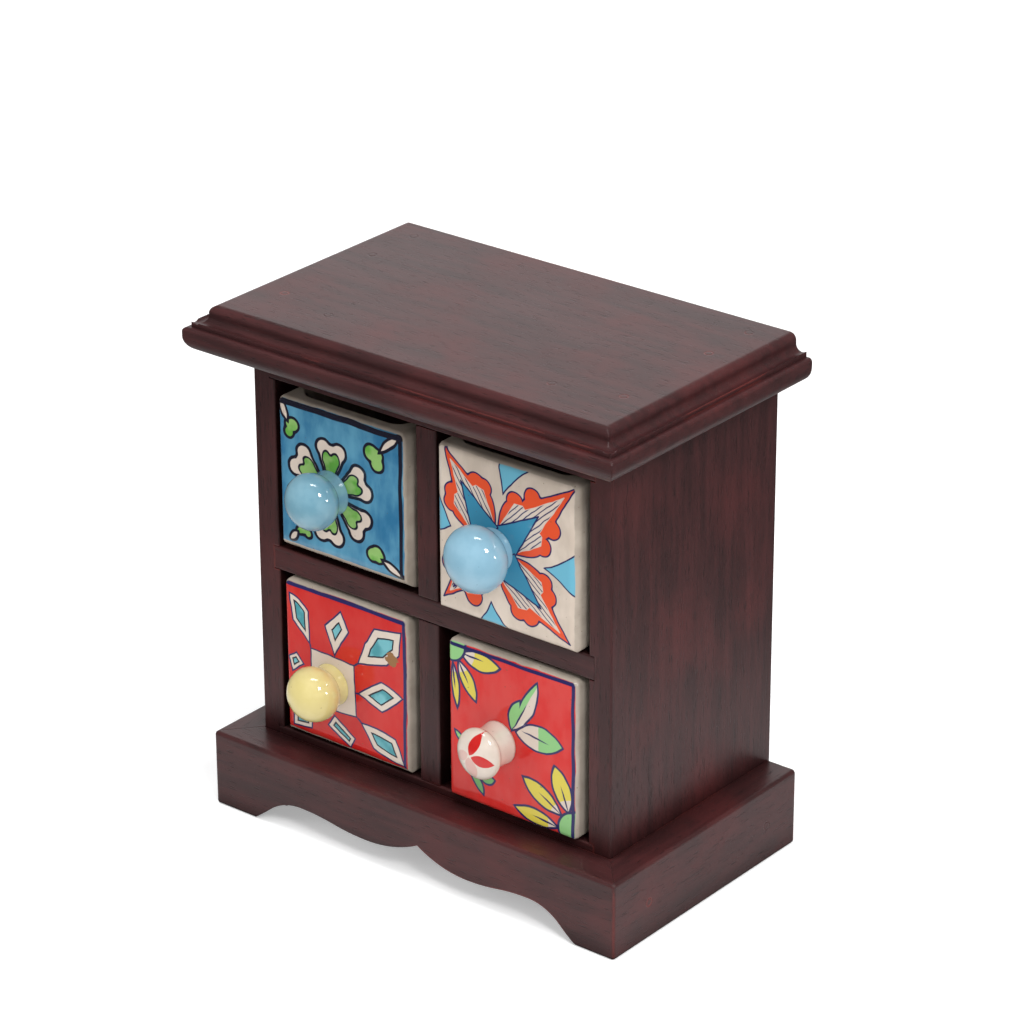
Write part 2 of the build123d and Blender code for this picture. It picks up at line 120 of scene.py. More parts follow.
class Sheet:
    """A material under construction."""

    def __init__(self, name):
        self.material = bpy.data.materials.new(name)
        self.material.use_nodes = True
        self.tree = self.material.node_tree
        self.shader = self.tree.nodes["Principled BSDF"]
        place = self.tree.nodes.new("ShaderNodeTexCoord")
        self.place = place.outputs["Object"]
        split = self.tree.nodes.new("ShaderNodeSeparateXYZ")
        self.tree.links.new(self.place, split.inputs[0])
        self.x, self.y, self.z = (Ink(self, out) for out in split.outputs)

    def plug(self, value, slot):
        if isinstance(value, Ink):
            self.tree.links.new(value.socket, slot)
        elif isinstance(value, bpy.types.NodeSocket):
            self.tree.links.new(value, slot)
        elif slot.type == "RGBA" and len(value) == 3:
            slot.default_value = (*value, 1.0)
        else:
            slot.default_value = value

    def point(self, x, y, z):
        node = self.tree.nodes.new("ShaderNodeCombineXYZ")
        for slot, value in zip(node.inputs, (x, y, z)):
            self.plug(value, slot)
        return node.outputs[0]

    def vector(self, operation, a, b):
        """A number made from two vectors, such as their distance."""
        node = self.tree.nodes.new("ShaderNodeVectorMath")
        node.operation = operation
        self.plug(a, node.inputs[0])
        self.plug(b, node.inputs[1])
        return Ink(self, node.outputs["Value"])

    def offset(self, amount):
        """Object coordinates moved by the same amount along each axis."""
        node = self.tree.nodes.new("ShaderNodeVectorMath")
        node.operation = "ADD"
        self.plug(self.place, node.inputs[0])
        self.plug((amount, amount, amount), node.inputs[1])
        return node.outputs[0]

    def split(self, vector):
        node = self.tree.nodes.new("ShaderNodeSeparateXYZ")
        self.plug(vector, node.inputs[0])
        return [Ink(self, out) for out in node.outputs]

    def stretch(self, scale, turn=(0, 0, 0)):
        """Object coordinates, turned and then scaled along each axis."""
        node = self.tree.nodes.new("ShaderNodeMapping")
        node.inputs["Rotation"].default_value = turn
        node.inputs["Scale"].default_value = scale
        self.tree.links.new(self.place, node.inputs["Vector"])
        return node.outputs[0]

    def noise(self, where, scale=1.0, detail=2.0, rough=0.5, twist=0.0):
        node = self.tree.nodes.new("ShaderNodeTexNoise")
        self.plug(where, node.inputs["Vector"])
        node.inputs["Scale"].default_value = scale
        node.inputs["Detail"].default_value = detail
        node.inputs["Roughness"].default_value = rough
        node.inputs["Distortion"].default_value = twist
        return Ink(self, node.outputs["Fac"])

    def blend(self, share, under, over):
        """A colour: under where share is 0, over where it is 1."""
        node = self.tree.nodes.new("ShaderNodeMix")
        node.data_type = "RGBA"
        self.plug(share, node.inputs["Factor"])
        self.plug(under, node.inputs[6])
        self.plug(over, node.inputs[7])
        return node.outputs[2]

    def edges(self, radius):
        """1 on sharp edges within this radius, 0 on flat faces."""
        bevel = self.tree.nodes.new("ShaderNodeBevel")
        bevel.samples = 8
        bevel.inputs["Radius"].default_value = radius
        geometry = self.tree.nodes.new("ShaderNodeNewGeometry")
        dot = self.tree.nodes.new("ShaderNodeVectorMath")
        dot.operation = "DOT_PRODUCT"
        self.tree.links.new(bevel.outputs[0], dot.inputs[0])
        self.tree.links.new(geometry.outputs["Normal"], dot.inputs[1])
        return (1.0 - Ink(self, dot.outputs["Value"])) * 6.0

    def openness(self, reach):
        """1 where the surface is open, 0 deep in a corner."""
        node = self.tree.nodes.new("ShaderNodeAmbientOcclusion")
        node.samples = 6
        node.inputs["Distance"].default_value = reach
        return Ink(self, node.outputs["AO"])

    def relief(self, height, depth, softened=0.0):
        """Bump from a height, over edges softened by a radius."""
        bump = self.tree.nodes.new("ShaderNodeBump")
        bump.inputs["Strength"].default_value = 1.0
        bump.inputs["Distance"].default_value = depth
        self.plug(height, bump.inputs["Height"])
        if softened:
            bevel = self.tree.nodes.new("ShaderNodeBevel")
            bevel.samples = 6
            bevel.inputs["Radius"].default_value = softened
            self.tree.links.new(bevel.outputs[0], bump.inputs["Normal"])
        self.tree.links.new(bump.outputs[0], self.shader.inputs["Normal"])

    def finish(self, color, rough, **constants):
        self.plug(color, self.shader.inputs["Base Color"])
        self.plug(rough, self.shader.inputs["Roughness"])
        for name, value in constants.items():
            self.shader.inputs[name.replace("_", " ")].default_value = value
        return self.material


print("a sheet can make:", ", ".join(name for name in vars(Sheet) if not name.startswith("_")))

# %% [markdown]
# ## Lacquered wood
# Each board's grain runs along its length: long streaks of slightly different brown, short dark pores,
# and a lacquer that lets a redder wood through where hands have worn an edge. The streaks are noise
# stretched along the grain. The same recipe serves every board, turned to the board's own direction.

# %% Make the wood
def wood(name, along, tint=(1.0, 1.0, 1.0), wear=1.0, rough=0.36):
    """along is the board's grain: X, Y or Z."""
    sheet = Sheet(name)
    grain = {"X": (26, 300, 300), "Y": (300, 26, 300), "Z": (300, 300, 26)}[along]
    pores = {"X": (210, 2300, 2300), "Y": (2300, 210, 2300), "Z": (2300, 2300, 210)}[along]
    streak = sheet.noise(sheet.stretch(grain), 1.0, 4.0, 0.6, 0.4)
    cloud = sheet.noise(sheet.place, 32.0, 3.0, 0.55)
    pore = sheet.noise(sheet.stretch(pores), 1.0, 2.0, 0.5)
    dark = [0.036 * tint[0], 0.0125 * tint[1], 0.0130 * tint[2]]
    light = [0.062 * tint[0], 0.0180 * tint[1], 0.0185 * tint[2]]
    color = sheet.blend(streak.fade(0.30, 0.72), dark, light)
    color = sheet.blend(cloud.fade(0.45, 0.75) * 0.5, color, (0.105, 0.020, 0.020))
    pit = pore.fade(0.60, 0.70)
    color = sheet.blend(pit * 0.65, color, (0.016, 0.007, 0.007))
    worn = (sheet.edges(0.9 * MM) * cloud.fade(0.46, 0.62) * wear).low(0.6)
    color = sheet.blend(worn, color, (0.20, 0.034, 0.028))
    # Painted shade: the colour darkens and the gloss drops in the corners and quirks, where little light
    # reaches, and lacquer gathered there darkens them too
    lacquer_and_corner_shade = sheet.openness(14.0 * MM).fade(0.82, 0.25)
    color = sheet.blend(lacquer_and_corner_shade * 0.9, color, (0.006, 0.002, 0.002))
    height = streak * 0.12 - pit * 0.6
    sheet.relief(height, 0.08 * MM, softened=0.6 * MM)
    gloss = (1.0 - lacquer_and_corner_shade) * 0.45
    sheet.plug(gloss, sheet.shader.inputs["Specular IOR Level"])
    return sheet.finish(color, cloud * 0.10 + rough - 0.05)


wood_x = wood("lacquered_wood_lengthwise", "X")
wood_y = wood("lacquered_wood_depthwise", "Y")
wood_z = wood("lacquered_wood_upright", "Z")
raw_back = wood("stained_back_board", "Z", tint=(1.5, 1.6, 1.6), wear=0.2, rough=0.6)
grain_of = {
    "top_board": wood_x, "inner_top": wood_x, "shelf": wood_x, "floor_board": wood_x,
    "plinth_front": wood_x, "plinth_back": wood_x, "plinth_left": wood_y, "plinth_right": wood_y,
    "left_side": wood_z, "right_side": wood_z, "centre_divider": wood_z, "back_panel": raw_back,
    "nail_fillers": wood_x,
}


def dress(name, material):
    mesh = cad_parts[name].data
    mesh.materials.clear()
    mesh.materials.append(material)


for name, material in grain_of.items():
    dress(name, material)
print("boards finished:", len(grain_of))

# %% [markdown]
# ## Metal
# Nails, studs, washers and nuts are plain zinc-bright steel. They hardly show, but a drawer pulled out
# shows its nut. One flat grey would look like paint. Noise stretched into fine scratches varies the
# colour and the roughness, which costs no geometry and suits every small piece alike.

# %% Make the steel
def steel():
    sheet = Sheet("bright_zinc_steel")
    scratch = sheet.noise(sheet.stretch((400, 4000, 4000)), 1.0, 3.0)
    color = sheet.blend(scratch, (0.46, 0.46, 0.47), (0.64, 0.64, 0.63))
    return sheet.finish(color, scratch * 0.25 + 0.22, Metallic=1.0)


zinc = steel()
metal = [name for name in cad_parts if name.endswith(("_stud", "_washer", "_nut", "_nails", "_pins"))]
for name in metal:
    dress(name, zinc)
print("metal pieces finished:", len(metal))

# %% [markdown]
# ## Drawing with distances
# The drawers' faces are painted by hand: flowers, leaves and diamonds with dark outlines. Each shape
# here is a distance in millimetres, below 0 inside the shape and above 0 outside. A fill colours what
# lies below 0, and a line colours a narrow strip about 0. A shape is given by its corners and by how
# far each edge swells between them, as a painter's stroke does. A little noise makes the hand shake.

# %% Draw on a face
class Page:
    """A plane in millimetres. spot is (across, up, 1) at each point of the surface."""

    def __init__(self, sheet, spot):
        self.sheet, self.spot = sheet, spot

    def disc(self, centre, radius):
        return self.sheet.vector("DISTANCE", self.spot, (*centre, 1.0)) - radius

    def edge(self, a, b, swell=0.0):
        """How far outside an edge from a to b. The shape is on its left, and swell is its bulge outwards."""
        length = sqrt((b[0] - a[0]) ** 2 + (b[1] - a[1]) ** 2)
        out = ((b[1] - a[1]) / length, (a[0] - b[0]) / length)
        straight = self.sheet.vector("DOT_PRODUCT", self.spot, (*out, -out[0] * a[0] - out[1] * a[1]))
        if swell == 0:
            return straight
        sign, bulge = (1 if swell > 0 else -1), abs(swell)
        radius = (length**2 / 4 + bulge**2) / (2 * bulge)
        shift = sign * (bulge - radius)
        centre = [(p + q) / 2 + shift * o for p, q, o in zip(a, b, out)]
        bowed = self.disc(centre, radius) * sign
        return bowed if swell > 0 else bowed.high(straight)

    def shape(self, *corners):
        """Corners anticlockwise. A third number is the swell of the edge that starts there."""
        edges = [
            self.edge(here[:2], there[:2], *here[2:])
            for here, there in zip(corners, corners[1:] + corners[:1])
        ]
        distance = edges[0]
        for edge in edges[1:]:
            distance = distance.high(edge)
        return distance

    def leaf(self, base, tip, left, right):
        """A pointed leaf. left and right are the swells of its two sides, seen from its base."""
        return self.shape((*base, right), (*tip, left))

    def folded(self, angle):
        """The same plane turned, so that its first axis points along angle, and folded about it."""
        c, s = cos(radians(angle)), sin(radians(angle))
        along = self.sheet.vector("DOT_PRODUCT", self.spot, (c, s, 0))
        across = abs(self.sheet.vector("DOT_PRODUCT", self.spot, (-s, c, 0)))
        return Page(self.sheet, self.sheet.point(along, across, 1.0))


class Painting(Page):
    """The painted front of a drawer or a knob. Places are from the knob's axis."""

    def __init__(self, name, knob, ground, shake=0.7):
        sheet = Sheet(name)
        low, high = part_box(knob)
        axis = (low + high) / 2
        drift = [sheet.noise(sheet.offset(side), 230.0, 1.5) - 0.5 for side in (0.0, 1.0)]
        across = (sheet.x - axis.x) / MM + drift[0] * shake
        up = (sheet.z - axis.z) / MM + drift[1] * shake
        super().__init__(sheet, sheet.point(across, up, 1.0))
        self.across, self.up, self.colour = across, up, ground

    def fill(self, colour, distance, share=1.0):
        inside = distance.fade(0.10, -0.10)
        self.colour = self.sheet.blend(inside * share if share < 1 else inside, self.colour, colour)

    def line(self, colour, distance, width):
        self.fill(colour, abs(distance) - width / 2)

    def outlined(self, distance, colour, ink, width):
        self.fill(colour, distance)
        self.line(ink, distance, width)


NAVY, BLACK = (0.022, 0.020, 0.095), (0.010, 0.010, 0.022)
CREAM, CLAY = (0.66, 0.56, 0.48), (0.40, 0.34, 0.28)
GREEN, PALE_GREEN = (0.12, 0.36, 0.055), (0.25, 0.52, 0.20)
RED, ORANGE, YELLOW = (0.54, 0.013, 0.011), (0.74, 0.085, 0.028), (0.66, 0.55, 0.075)
SKY, STAR_BLUE = (0.15, 0.44, 0.58), (0.045, 0.25, 0.40)


def washed(sheet, deep, pale):
    """Brushed ground colour: thin where the brush was dry, deep where the glaze pooled."""
    pool = sheet.noise(sheet.place, 75.0, 2.0)
    streak = sheet.noise(sheet.stretch((90, 90, 40)), 3.0, 3.0)
    return sheet.blend((pool * 0.7 + streak * 0.5 - 0.1).fade(0.30, 0.68), deep, pale)


def face_edges(painting, drawer):
    """Distances inwards from the drawer's right edge and top edge, in millimetres."""
    low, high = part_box(drawer)
    sheet = painting.sheet
    wave = (sheet.noise(sheet.place, 70.0, 1.0) - 0.5) * 1.2
    return (high.x / MM - sheet.x / MM) + wave, (high.z / MM - sheet.z / MM) + wave


def fire(painting, drawer):
    """Leave bare glazed clay round the painted front and finish the material."""
    sheet = painting.sheet
    low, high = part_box(drawer)
    behind = (sheet.y - low.y) / MM
    cloud = sheet.noise(sheet.place, 140.0, 3.0)
    clay = sheet.blend(cloud.fade(0.35, 0.7), CLAY, (0.50, 0.43, 0.36))
    color = sheet.blend((behind - cloud * 0.8).fade(0.05, 0.30), painting.colour, clay)
    speck = sheet.noise(sheet.place, 900.0, 1.0).fade(0.74, 0.78)
    color = sheet.blend(speck * 0.5, color, (0.10, 0.06, 0.03))
    ripple = sheet.noise(sheet.place, 55.0, 2.0)
    sheet.relief(ripple + cloud * 0.15, 0.35 * MM, softened=0.6 * MM)
    return sheet.finish(
        color, 0.07, Specular_IOR_Level=0.35, Coat_Weight=0.2, Coat_Roughness=0.03
    )


print("outlines are in", NAVY, "or", BLACK)

# %% [markdown]
# ### The blue face
# A flower with six two-lobed petals stands round the knob. Six outlines could be drawn one by one.
# Instead one petal is drawn and the plane is folded, so that it repeats every 60 degrees. The buds in
# the corners differ from each other, as the painter made them, so each has its own places.

# %% Paint the blue face
def blue_face(name):
    """Six two-lobed petals round the knob and a bud in each corner."""
    drawer = f"{name}_drawer"
    painting = Painting(f"{name}_face", f"{name}_knob", None)
    sheet = painting.sheet
    painting.colour = washed(sheet, (0.028, 0.150, 0.290), (0.105, 0.310, 0.450))
    heart = sheet.blend(sheet.noise(sheet.place, 200.0).fade(0.4, 0.6), GREEN, (0.26, 0.46, 0.14))
    # Fold the plane: an angle within one petal's share of the circle
    share, first = 60.0, 87.0
    angle = painting.up.math("ARCTAN2", painting.across) / radians(share) - first / share
    within = ((angle + 0.5).math("FRACT") - 0.5) * radians(share)
    reach = (painting.across * painting.across + painting.up * painting.up).root()
    along, across = reach * within.cos(), abs(reach * within.sin())

    def petal(length, width):
        """Distance outside a two-lobed petal, given as shares of the outer petal's size."""
        page = Page(sheet, sheet.point(along / length, across / width, 1.0))
        body = page.shape((0, -1), (15.2, -1), (15.2, 2.4), (13.0, 5.2, 0.4))
        return body.join(page.disc((13.5, 2.9), 2.75), 0.8) * width

    outer, inner = petal(1.0, 1.0), petal(0.78, 0.56)
    painting.fill(CREAM, outer)
    painting.outlined(inner, heart, BLACK, 0.55)
    painting.line(BLACK, outer, 1.0)
    buds = (
        ((26.6, 25.0), (18.8, 17.6), ((18.0, 16.4), 2.2), ((15.8, 16.8), 2.7), ((18.0, 13.8), 2.4)),
        ((27.2, -19.4), (19.2, -15.8), ((18.2, -15.2), 2.0), ((15.8, -14.9), 2.2), ((17.4, -13.9), 2.0)),
        ((-18.8, 25.0), (-15.6, 18.2), ((-14.8, 17.6), 1.8), ((-13.6, 17.6), 2.2), ((-15.2, 15.0), 1.8)),
        ((-15.9, -19.3), (-12.8, -15.8), ((-12.2, -15.4), 1.3), ((-10.8, -14.8), 1.6), ((-8.8, -15.6), 1.4)),
    )
    for corner, neck, *lobes in buds:
        bud = painting.disc(*lobes[0])
        for lobe in lobes[1:]:
            bud = bud.join(painting.disc(*lobe), 1.2)
        painting.outlined(bud, heart, BLACK, 0.9)
        painting.outlined(painting.leaf(neck, corner, 1.25, 1.25), CREAM, BLACK, 0.9)
    right, top = face_edges(painting, drawer)
    painting.line(BLACK, right - 1.1, 1.1)
    painting.line(BLACK, top - 1.5, 1.7)
    return fire(painting, drawer)


print("blue face ready")

# %% [markdown]
# ### The star face
# A four-pointed blue star has a flame-like leaf round each arm. The two halves of a leaf match, so
# only one is drawn, on a plane folded about the arm. Its hatching is a pattern of stripes that run
# along the arm, kept inside the leaf.

# %% Paint the star face
def flame(painting, angle, tip, width):
    """A leaf about one arm of the star, symmetric about the arm, with two lobes on each side."""
    page = painting.folded(angle)
    point = page.shape((10.0, -1), (tip, -1), (tip, 0), (12.0, 3.6 * width * (tip - 12.0) / (0.32 * tip)))
    core = page.shape(
        (3.0, -1), (0.7 * tip, -1), (0.68 * tip, 3.6 * width), (0.52 * tip, 6.2 * width), (6.0, 4.6)
    )
    flank = page.shape((6.0, 4.4), (18.4, 4.4), (17.4, 9.0 * width), (13.6, 8.8 * width, 0.6))
    first = page.disc((17.0, 7.4 * width), 2.9)
    second = page.disc((0.60 * tip, 5.2 * width), 2.9)
    leaf = point.low(core).low(flank).low(first).join(second, 1.2)
    painting.fill(ORANGE, leaf)
    inner_point = page.shape((4.0, -1), (0.87 * tip, -1), (0.87 * tip, 0.1), (15.5, 4.4 * width))
    inner_core = page.shape((4.0, -1), (18.8, -1), (18.6, 5.0 * width), (16.4, 7.0 * width), (6.6, 4.6, 0.3))
    inner = inner_point.low(inner_core)
    painting.fill(CREAM, inner)
    _, across, _ = painting.sheet.split(page.spot)
    hatch = ((across / 1.3).math("FRACT") - 0.5) * 1.3
    painting.fill(NAVY, (abs(hatch) - 0.16).high(inner + 0.2))
    painting.line(NAVY, leaf, 0.5)
    arm = page.shape((3.0, -1), (21.5, -1), (21.5, 0), (5.2, 5.2))
    painting.outlined(arm, STAR_BLUE, NAVY, 0.5)


def star_face(name):
    """A blue star, a flame leaf round each arm and a blue triangle at each edge."""
    drawer = f"{name}_drawer"
    painting = Painting(f"{name}_face", f"{name}_knob", None)
    painting.colour = washed(painting.sheet, (0.56, 0.47, 0.39), (0.70, 0.60, 0.51))
    triangles = (
        ((3.4, 18.0, -0.7), (14.6, 29.0), (0.9, 29.5, -0.4)),
        ((18.0, -0.5, -0.9), (31.0, -9.0), (30.6, 8.6, -0.9)),
        ((-1.0, -16.5, -0.3), (-6.0, -24.5), (6.0, -24.5, -0.4)),
        ((-15.5, 3.0), (-22.0, 15.5), (-22.0, -0.8)),
    )
    for corners in triangles:
        painting.outlined(painting.shape(*corners), SKY, NAVY, 0.45)
    arms = ((42.4, 39.0, 1.0), (123.0, 32.5, 0.92), (-38.5, 34.5, 0.95), (227.0, 27.0, 0.8))
    for angle, tip, width in arms:
        flame(painting, angle, tip, width)
    return fire(painting, drawer)


print("star face ready")

# %% [markdown]
# ### The diamond face
# Eight diamonds stand round a cream square, each with a turquoise core. The core is the same outline
# drawn further in, because a distance that has a number added to it is the shape shrunk by that much.

# %% Paint the diamond face
def diamond_face(name):
    """A cream square round the knob and eight diamonds with turquoise cores on red."""
    drawer = f"{name}_drawer"
    painting = Painting(f"{name}_face", f"{name}_knob", None)
    sheet = painting.sheet
    painting.colour = washed(sheet, RED, (0.56, 0.030, 0.024))
    core = sheet.blend(sheet.noise(sheet.place, 170.0).fade(0.4, 0.6), (0.06, 0.28, 0.32), (0.16, 0.45, 0.50))
    painting.outlined(painting.shape((-7.5, -9.0), (9.5, -7.7), (9.0, 9.0), (-7.7, 9.7)), CREAM, NAVY, 0.5)
    diamonds = (
        (1.6, ((-8.0, 11.0), (-8.3, 21.3, 0.8), (-15.6, 25.4), (-14.5, 17.0))),
        (2.3, ((1.5, 10.0), (7.2, 19.3), (4.3, 25.0), (-2.0, 18.8))),
        (2.6, ((10.5, 10.0), (21.5, 12.8), (26.3, 17.5), (27.2, 25.0), (17.0, 23.2), (13.3, 17.5))),
        (2.1, ((10.5, 0.2), (19.5, -3.0, 0.3), (27.4, 3.8, 0.3), (19.5, 6.7, 0.3))),
        (2.1, ((11.5, -9.0), (16.0, -16.0, 0.5), (28.0, -18.3), (24.5, -10.3, 0.5))),
        (1.5, ((1.0, -10.0), (-1.5, -13.8), (7.0, -18.7), (9.0, -15.2))),
        (1.5, ((-15.0, -13.0), (-15.0, -17.8), (-8.0, -17.0), (-7.5, -13.0))),
        (1.3, ((-16.5, 4.5), (-15.0, 0.0), (-10.5, 3.5), (-13.5, 6.6))),
    )
    for inset, corners in diamonds:
        diamond = painting.shape(*corners)
        painting.outlined(diamond, CREAM, NAVY, 0.55)
        painting.outlined(diamond + inset, core, BLACK, 0.5)
    joins = (
        ((-7.7, 9.5), (-8.0, 11.5)), ((8.6, 8.6), (11.0, 10.4)),
        ((9.4, -7.5), (12.0, -9.4)), ((9.2, 0.2), (11.0, 0.2)),
    )
    for a, b in joins:
        painting.fill(NAVY, painting.leaf(a, b, 0.35, 0.35))
    chip = painting.disc((23.5, 15.4), 2.1) + (sheet.noise(sheet.place, 800.0, 2.0) - 0.5) * 3.0
    painting.fill((0.27, 0.13, 0.045), chip)
    right, top = face_edges(painting, drawer)
    painting.line(NAVY, right - 1.0, 0.9)
    painting.line(NAVY, top - 1.2, 1.1)
    return fire(painting, drawer)


print("diamond face ready")

# %% [markdown]
# ### The daisy face
# A daisy grows out of two corners and a sprig of leaves grows from the knob. A petal is a pointed leaf
# in cream, and its yellow starts at a set distance from the daisy's green disc.

# %% Paint the daisy face
def daisy_face(name):
    """A daisy in two corners, and a sprig of leaves by the knob, on red."""
    drawer = f"{name}_drawer"
    painting = Painting(f"{name}_face", f"{name}_knob", None)
    sheet = painting.sheet
    painting.colour = washed(sheet, (0.60, 0.014, 0.012), (0.62, 0.045, 0.038))
    daisies = (
        ((-17.4, 26.4), 5.4, (
            ((-13.6, 24.6), (0.8, 23.8), 2.3, 3.6),
            ((-14.6, 21.8), (-8.0, 10.3), 2.6, 2.2),
            ((-16.6, 20.4), (-15.0, 6.4), 1.7, 1.2),
        )),
        ((28.0, -19.8), 6.2, (
            ((25.6, -14.2), (20.4, -0.8), 3.2, 3.3),
            ((23.0, -15.8), (8.8, -7.8), 3.0, 2.9),
            ((21.8, -20.2), (5.8, -18.4), 2.6, 2.4),
        )),
    )
    for centre, radius, petals in daisies:
        disc = painting.disc(centre, radius)
        for base, tip, left, right in petals:
            petal = painting.leaf(base, tip, left, right)
            painting.fill(CREAM, petal)
            painting.fill(YELLOW, petal.high(3.6 - disc))
            middle = tuple(b + 0.58 * (t - b) for b, t in zip(base, tip))
            painting.fill(NAVY, painting.leaf(base, middle, 0.32, 0.32))
            painting.line(NAVY, petal, 0.75)
        painting.outlined(disc, PALE_GREEN, NAVY, 0.8)
    # Two leaves from the knob: one split along its rib, the other across it
    upper = painting.leaf((5.0, 5.4), (14.2, 23.4), 1.6, 3.4)
    upper = upper.low(painting.leaf((5.0, 5.4), (8.0, 16.0), 2.6, 1.0))
    painting.fill(PALE_GREEN, upper)
    painting.fill(CREAM, upper.high(painting.edge((5.0, 5.4), (13.6, 21.0)) * -1.0))
    painting.fill(NAVY, painting.leaf((5.0, 5.4), (10.6, 15.4), 0.3, 0.3))
    painting.line(NAVY, upper, 0.65)
    side = painting.leaf((6.4, 5.4), (23.4, 5.8), 4.3, 3.9)
    painting.fill(CREAM, side)
    painting.fill(PALE_GREEN, side.high(14.6 - painting.across))
    painting.fill(NAVY, painting.leaf((8.6, 6.6), (18.2, 5.2), 0.3, 0.3))
    painting.line(NAVY, side, 0.65)
    lower = painting.leaf((-10.6, -12.6), (-5.4, -18.8), 2.0, 0.8)
    lower = lower.low(painting.leaf((-7.5, -12.4), (-1.2, -12.9), 1.0, 2.2))
    painting.outlined(lower, (0.16, 0.38, 0.13), NAVY, 0.65)
    painting.outlined(painting.leaf((-11.5, -4.6), (-16.0, -0.8), 1.2, 0.8), PALE_GREEN, NAVY, 0.6)
    right, top = face_edges(painting, drawer)
    painting.line(NAVY, right - 1.2, 0.9)
    painting.line(NAVY, top - 1.3, 1.0)
    return fire(painting, drawer)


faces = {
    "upper_left": blue_face, "upper_right": star_face,
    "lower_left": diamond_face, "lower_right": daisy_face,
}
for name, paint_face in faces.items():
    dress(f"{name}_drawer", paint_face(name))
    print(name, "face:", len(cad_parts[f"{name}_drawer"].data.materials[0].node_tree.nodes), "nodes")

# %% [markdown]
# ## Turned knobs
# A knob is a turned form: a profile swept round an axis. A lathe made of geometry nodes does this for
# all four. It starts from a flat grid, reads one side of the grid as the angle and the other as the way
# along the profile, and moves each point to its place. Each knob only sets its own sizes.

# %% Build the lathe
class Shaper(Sheet):
    """The same arithmetic in a geometry node tree."""

    def __init__(self, name, inputs):
        self.tree = bpy.data.node_groups.new(name, "GeometryNodeTree")
        face = self.tree.interface
        face.new_socket("Geometry", in_out="INPUT", socket_type="NodeSocketGeometry")
        for label, value in inputs.items():
            face.new_socket(label, in_out="INPUT", socket_type="NodeSocketFloat").default_value = value
        face.new_socket("Material", in_out="INPUT", socket_type="NodeSocketMaterial")
        face.new_socket("Geometry", in_out="OUTPUT", socket_type="NodeSocketGeometry")
        self.entry = self.tree.nodes.new("NodeGroupInput")
        self.sizes = {label: Ink(self, self.entry.outputs[label]) for label in inputs}

    def step(self, kind, geometry=None, **values):
        node = self.tree.nodes.new(kind)
        if geometry is not None:
            self.tree.links.new(geometry, node.inputs[0])
        for label, value in values.items():
            self.plug(value, node.inputs[label.replace("_", " ")])
        return node.outputs[0]


def make_lathe():
    """Profile in millimetres: a flange on the face, a shallow waist, then a flattened ball."""
    around, rows = 96, 41
    waist_start, ball_start = 0.05, 0.35
    lathe = Shaper("knob_lathe", {
        "Radius": 8.5, "Half Depth": 7.0, "Reach": 8.0, "Flange": 6.8, "Neck": 6.2, "Waist": 0.2, "Oval": 1.0,
    })
    radius, depth, reach, flange, neck, waist, oval = lathe.sizes.values()
    grid = lathe.step("GeometryNodeMeshGrid", Size_X=1.0, Size_Y=1.0, Vertices_X=around + 1, Vertices_Y=rows)
    place = lathe.step("GeometryNodeInputPosition")
    turn, way, _ = lathe.split(place)
    angle, way = (turn + 0.5) * tau, way + 0.5
    foot = (way / waist_start).low(1.0)
    rise = ((way - waist_start) / (ball_start - waist_start)).high(0.0).low(1.0)
    climb = ((way - ball_start) / (1.0 - ball_start)).high(0.0)
    start = -(neck / radius).math("ARCCOSINE")
    slope = start + (pi / 2 - start) * climb
    on_ball = way.math("GREATER_THAN", ball_start)
    waist_r = flange + (neck - flange) * rise - (rise * pi).sin() * waist
    ball_r = radius * slope.cos()
    r = (waist_r + (ball_r - waist_r) * on_ball) * (foot * 0.75 + 0.25)
    neck_height = reach + depth * start.sin()
    waist_h = neck_height * rise
    h = waist_h + (reach + depth * slope.sin() - waist_h) * on_ball
    wrapped = lathe.point(r * angle.cos() * oval * MM, h * -MM, r * angle.sin() * MM)
    moved = lathe.step("GeometryNodeSetPosition", grid, Position=wrapped)
    merged = lathe.step("GeometryNodeMergeByDistance", moved, Distance=0.002 * MM)
    smooth = lathe.step("GeometryNodeSetShadeSmooth", merged)
    real = lathe.step("GeometryNodeRealizeInstances", smooth)
    painted = lathe.step("GeometryNodeSetMaterial", real, Material=lathe.entry.outputs["Material"])
    out = lathe.tree.nodes.new("NodeGroupOutput")
    lathe.tree.links.new(painted, out.inputs[0])
    return lathe.tree


lathe = make_lathe()
print("lathe:", len(lathe.nodes), "nodes")

# %% [markdown]
# ### The knobs' glaze and sizes
# Each knob has one soft colour with clouds in it, and one has red petals painted on its front. The
# lathe's result is kept as a plain mesh and rides on its drawer, so that the knob moves with it.

# %% Turn and glaze the knobs
def turn_knob(name, material, lathe, **sizes):
    """Run the lathe with one knob's sizes and keep the result as a plain mesh on its drawer."""
    low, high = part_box(f"{name}_knob")
    mesh = bpy.data.meshes.new(f"{name}_blank")
    blank = bpy.data.objects.new(f"{name}_blank", mesh)
    bpy.context.scene.collection.objects.link(blank)
    modifier = blank.modifiers.new("lathe", "NODES")
    modifier.node_group = lathe
    for item in lathe.interface.items_tree:
        label = item.name.lower().replace(" ", "_")
        if item.in_out == "INPUT" and label in sizes:
            modifier[item.identifier] = float(sizes[label])
        if item.in_out == "INPUT" and item.name == "Material":
            modifier[item.identifier] = material
    bpy.context.view_layer.update()
    turned = bpy.data.meshes.new_from_object(blank.evaluated_get(bpy.context.evaluated_depsgraph_get()))
    bpy.data.objects.remove(blank)
    turned.transform(Matrix.Translation(((low.x + high.x) / 2, high.y, (low.z + high.z) / 2)))
    shell = bmesh.new()
    shell.from_mesh(turned)
    bmesh.ops.recalc_face_normals(shell, faces=shell.faces)
    shell.to_mesh(turned)
    shell.free()
    knob = bpy.data.objects.new(f"{name}_turned_knob", turned)
    bpy.context.scene.collection.objects.link(knob)
    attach(knob, f"{name}_drawer_body")
    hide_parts(f"{name}_knob")
    return knob


